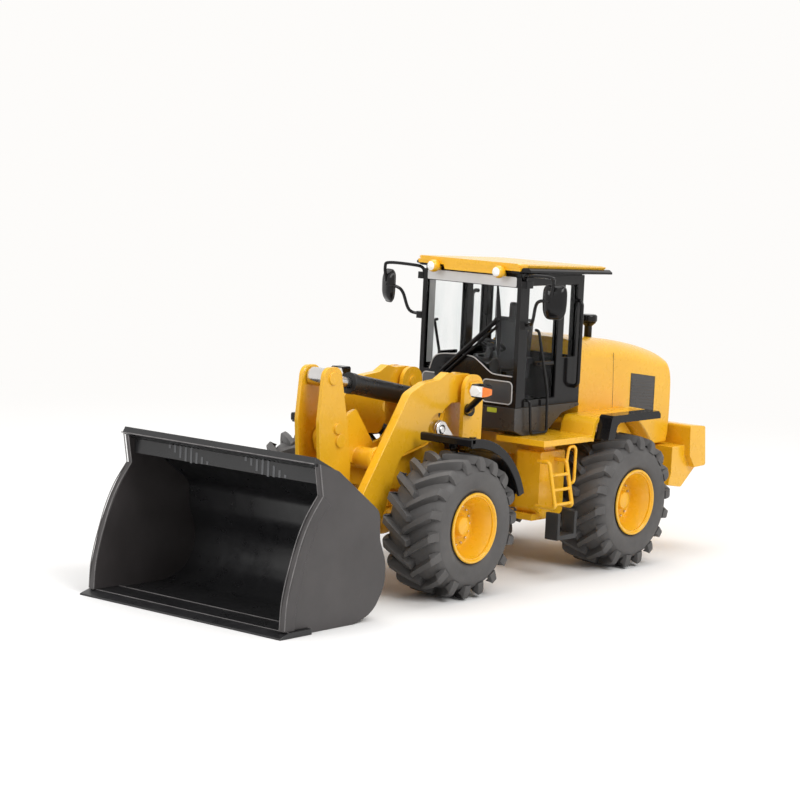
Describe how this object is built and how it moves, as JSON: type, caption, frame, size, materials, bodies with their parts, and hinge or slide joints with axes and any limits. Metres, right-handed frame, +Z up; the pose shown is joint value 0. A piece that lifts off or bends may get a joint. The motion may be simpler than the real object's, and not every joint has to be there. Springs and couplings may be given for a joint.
{
  "type": "toy front loader",
  "caption": "Articulated toy wheel loader with a glazed cab, lug tyres, a lifting and tilting front bucket, and an oscillating rear axle.",
  "frame": {"origin": "on the ground below the steering hitch pin, midway between the axles", "axes": "+X forwards towards the bucket, +Y to the machine's left, +Z up"},
  "size_m": [0.158, 0.0546, 0.0679],
  "materials": {
    "yellow_paint": "satin enamel",
    "black_paint": "satin black enamel",
    "bucket_grey": "dark graphite satin paint",
    "tyre_rubber": "matt rubber",
    "soft_rubber": "matt rubber",
    "black_plastic": "gloss black plastic",
    "yellow_plastic": "satin yellow plastic",
    "dark_plastic": "matt dark grey plastic",
    "clear": "clear glazing",
    "lamp_clear": "clear lens",
    "lamp_amber": "amber lens",
    "bright_steel": "polished"
  },
  "bodies": {
    "rear_chassis": {"rear_frame": "yellow_paint", "hitch_pin": "bright_steel", "hood": "yellow_plastic", "hood_grilles": "dark_plastic", "precleaner": "black_plastic", "counterweight": "yellow_paint", "platform_left": "yellow_paint", "platform_right": "yellow_paint", "fender_trims": "black_plastic", "cab_base": "black_plastic", "cab_frame": "black_plastic", "cab_glass": "clear", "roof": "yellow_plastic", "work_lights": "yellow_plastic", "seat": "dark_plastic", "dashboard": "dark_plastic", "steering_wheel": "dark_plastic", "mirrors": "black_plastic", "grab_rails": "black_plastic", "wiper": "black_plastic", "ladder_left": "yellow_paint", "ladder_right": "yellow_paint", "rubber_steps": "soft_rubber"},
    "rear_axle_body": {"rear_axle": "yellow_paint"},
    "front_chassis": {"front_frame": "yellow_paint", "front_axle": "yellow_paint", "arm_pivot_pins": "yellow_paint", "front_fender_left": "black_plastic", "front_fender_right": "black_plastic", "headlight_housings": "black_plastic", "headlight_lenses": "lamp_clear", "indicator_lenses": "lamp_amber"},
    "arms": {"lift_arm_left": "yellow_paint", "lift_arm_right": "yellow_paint", "cross_tube": "yellow_paint"},
    "lever": {"tilt_lever": "yellow_paint"},
    "tilt_barrel": {"tilt_cylinder_barrel": "black_paint"},
    "tilt_rod": {"tilt_cylinder_rod": "bright_steel"},
    "bucket": {"bucket_shell": "bucket_grey", "bucket_sides": "bucket_grey", "cutting_edge": "bucket_grey", "spill_guard": "bucket_grey", "bucket_pins": "bright_steel"},
    "link": {"tilt_link": "yellow_paint"},
    "wheel_front_left": {"tyre_front_left": "tyre_rubber", "rim_front_left": "yellow_paint"},
    "wheel_front_right": {"tyre_front_right": "tyre_rubber", "rim_front_right": "yellow_paint"},
    "wheel_rear_left": {"tyre_rear_left": "tyre_rubber", "rim_rear_left": "yellow_paint"},
    "wheel_rear_right": {"tyre_rear_right": "tyre_rubber", "rim_rear_right": "yellow_paint"},
    "lift_barrel_left": {"lift_cylinder_barrel_left": "black_paint"},
    "lift_rod_left": {"lift_cylinder_rod_left": "bright_steel"},
    "lift_barrel_right": {"lift_cylinder_barrel_right": "black_paint"},
    "lift_rod_right": {"lift_cylinder_rod_right": "bright_steel"},
    "steer_barrel_left": {"steering_barrel_left": "black_paint"},
    "steer_rod_left": {"steering_rod_left": "bright_steel"},
    "steer_barrel_right": {"steering_barrel_right": "black_paint"},
    "steer_rod_right": {"steering_rod_right": "bright_steel"}
  },
  "joints": [
    {"name": "steer", "type": "hinge", "parent": "rear_chassis", "child": "front_chassis", "pos_m": [0, 0, 0.015], "axis": [0, 0, 1], "range_deg": [-30, 30]},
    {"name": "axle_oscillation", "type": "hinge", "parent": "rear_chassis", "child": "rear_axle_body", "pos_m": [-0.029, 0, 0.015], "axis": [1, 0, 0], "range_deg": [-5, 5]},
    {"name": "wheel_front_left_spin", "type": "hinge", "parent": "front_chassis", "child": "wheel_front_left", "pos_m": [0.029, 0.02025, 0.015], "axis": [0, 1, 0], "continuous": true},
    {"name": "wheel_front_right_spin", "type": "hinge", "parent": "front_chassis", "child": "wheel_front_right", "pos_m": [0.029, -0.02025, 0.015], "axis": [0, 1, 0], "continuous": true},
    {"name": "wheel_rear_left_spin", "type": "hinge", "parent": "rear_axle_body", "child": "wheel_rear_left", "pos_m": [-0.029, 0.02025, 0.015], "axis": [0, 1, 0], "continuous": true},
    {"name": "wheel_rear_right_spin", "type": "hinge", "parent": "rear_axle_body", "child": "wheel_rear_right", "pos_m": [-0.029, -0.02025, 0.015], "axis": [0, 1, 0], "continuous": true},
    {"name": "lift", "type": "hinge", "parent": "front_chassis", "child": "arms", "pos_m": [0.013, 0, 0.0413], "axis": [0, -1, 0], "range_deg": [0, 80]},
    {"name": "bucket_tilt", "type": "hinge", "parent": "arms", "child": "bucket", "pos_m": [0.053, 0, 0.0098], "axis": [0, -1, 0], "range_deg": [-50, 30]},
    {"name": "lever_pivot", "type": "hinge", "parent": "arms", "child": "lever", "pos_m": [0.0468, 0, 0.0318], "axis": [0, -1, 0], "range_deg": [-11.9, 19.5]},
    {"name": "link_pivot", "type": "hinge", "parent": "bucket", "child": "link", "pos_m": [0.0562, 0, 0.0154], "axis": [0, -1, 0], "range_deg": [-20.3, 33.5]},
    {"name": "tilt_barrel_pivot", "type": "hinge", "parent": "arms", "child": "tilt_barrel", "pos_m": [0.0145, 0, 0.0378], "axis": [0, -1, 0], "range_deg": [-1.94, 2.9]},
    {"name": "tilt_rod_slide", "type": "slide", "parent": "tilt_barrel", "child": "tilt_rod", "axis": [0.9812, 0, 0.1929], "range_m": [-0.00415, 0.00253]},
    {"name": "lift_barrel_left_pivot", "type": "hinge", "parent": "front_chassis", "child": "lift_barrel_left", "pos_m": [0.007, 0.00895, 0.023], "axis": [0, -1, 0], "range_deg": [-0.5, 24.1]},
    {"name": "lift_rod_left_slide", "type": "slide", "parent": "lift_barrel_left", "child": "lift_rod_left", "axis": [0.8278, 0, 0.5611], "range_m": [-0.00005, 0.01306]},
    {"name": "lift_barrel_right_pivot", "type": "hinge", "parent": "front_chassis", "child": "lift_barrel_right", "pos_m": [0.007, -0.00895, 0.023], "axis": [0, -1, 0], "range_deg": [-0.5, 24.1]},
    {"name": "lift_rod_right_slide", "type": "slide", "parent": "lift_barrel_right", "child": "lift_rod_right", "axis": [0.8278, 0, 0.5611], "range_m": [-0.00005, 0.01306]},
    {"name": "steer_barrel_left_pivot", "type": "hinge", "parent": "rear_chassis", "child": "steer_barrel_left", "pos_m": [-0.0105, 0.0065, 0.0165], "axis": [0, 0, 1], "range_deg": [-15.8, 15.8]},
    {"name": "steer_rod_left_slide", "type": "slide", "parent": "steer_barrel_left", "child": "steer_rod_left", "axis": [0.9893, 0.1458, 0], "range_m": [-0.00424, 0.00424]},
    {"name": "steer_barrel_right_pivot", "type": "hinge", "parent": "rear_chassis", "child": "steer_barrel_right", "pos_m": [-0.0105, -0.0065, 0.0165], "axis": [0, 0, 1], "range_deg": [-15.8, 15.8]},
    {"name": "steer_rod_right_slide", "type": "slide", "parent": "steer_barrel_right", "child": "steer_rod_right", "axis": [0.9893, -0.1458, 0], "range_m": [-0.00424, 0.00424]}
  ],
  "couplings": [
    {"joint": "lever_pivot", "follows": "bucket_tilt", "ratio": -0.38},
    {"joint": "link_pivot", "follows": "bucket_tilt", "ratio": -0.66},
    {"joint": "tilt_barrel_pivot", "follows": "bucket_tilt", "ratio": -0.048},
    {"joint": "tilt_rod_slide", "follows": "bucket_tilt", "m_per_rad": 0.004641},
    {"joint": "lift_barrel_left_pivot", "follows": "lift", "ratio": 0.295},
    {"joint": "lift_rod_left_slide", "follows": "lift", "m_per_rad": 0.0092819},
    {"joint": "lift_barrel_right_pivot", "follows": "lift", "ratio": 0.295},
    {"joint": "lift_rod_right_slide", "follows": "lift", "m_per_rad": 0.0092819},
    {"joint": "steer_barrel_left_pivot", "follows": "steer", "ratio": 0.51},
    {"joint": "steer_rod_left_slide", "follows": "steer", "m_per_rad": -0.0079068},
    {"joint": "steer_barrel_right_pivot", "follows": "steer", "ratio": 0.51},
    {"joint": "steer_rod_right_slide", "follows": "steer", "m_per_rad": 0.0079068}
  ]
}
